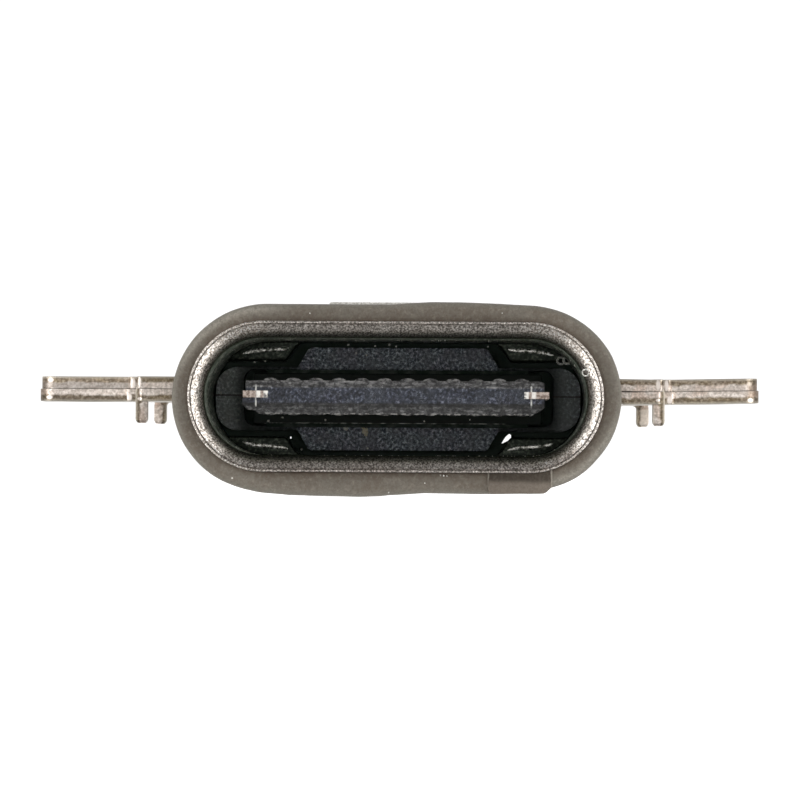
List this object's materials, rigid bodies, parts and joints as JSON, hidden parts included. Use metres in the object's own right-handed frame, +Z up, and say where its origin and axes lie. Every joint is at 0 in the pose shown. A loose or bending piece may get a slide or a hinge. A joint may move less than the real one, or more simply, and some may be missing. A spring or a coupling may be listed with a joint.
{
  "type": "usb-c socket",
  "caption": "Sealed socket with a racetrack steel shell around a tongue of contacts, a rubber ring, stacked screw ears, board legs and rear solder tails.",
  "frame": {"origin": "centre of the mouth, in the plane of the shell's lip", "axes": "+X across the width, -Y out of the mouth towards the plug, +Z up, away from the board legs"},
  "size_m": [0.016, 0.0099, 0.0044],
  "materials": {
    "shell_steel": "bead-blasted stainless steel",
    "sheet_steel": "stamped stainless sheet with sheared edges",
    "plate_steel": "bare stainless plate",
    "seal_rubber": "matt grey-brown silicone rubber",
    "body_plastic": "grainy dark blue-grey moulded plastic",
    "carrier_plastic": "grainy dark blue-grey moulded plastic",
    "contact_metal": "gold-plated copper alloy"
  },
  "bodies": {
    "root": {"shell": "shell_steel", "seal_ring": "seal_rubber", "upper_bracket": "sheet_steel", "lower_bracket": "sheet_steel", "insulator": "body_plastic", "upper_contact_carrier": "carrier_plastic", "lower_contact_carrier": "carrier_plastic", "mid_plate": "plate_steel", "upper_ground_plate": "plate_steel", "lower_ground_plate": "plate_steel", "contact_a1": "contact_metal", "contact_a2": "contact_metal", "contact_a3": "contact_metal", "contact_a4": "contact_metal", "contact_a5": "contact_metal", "contact_a6": "contact_metal", "contact_a7": "contact_metal", "contact_a8": "contact_metal", "contact_a9": "contact_metal", "contact_a10": "contact_metal", "contact_a11": "contact_metal", "contact_a12": "contact_metal", "contact_b1": "contact_metal", "contact_b2": "contact_metal", "contact_b3": "contact_metal", "contact_b4": "contact_metal", "contact_b5": "contact_metal", "contact_b6": "contact_metal", "contact_b7": "contact_metal", "contact_b8": "contact_metal", "contact_b9": "contact_metal", "contact_b10": "contact_metal", "contact_b11": "contact_metal", "contact_b12": "contact_metal"}
  },
  "joints": []
}
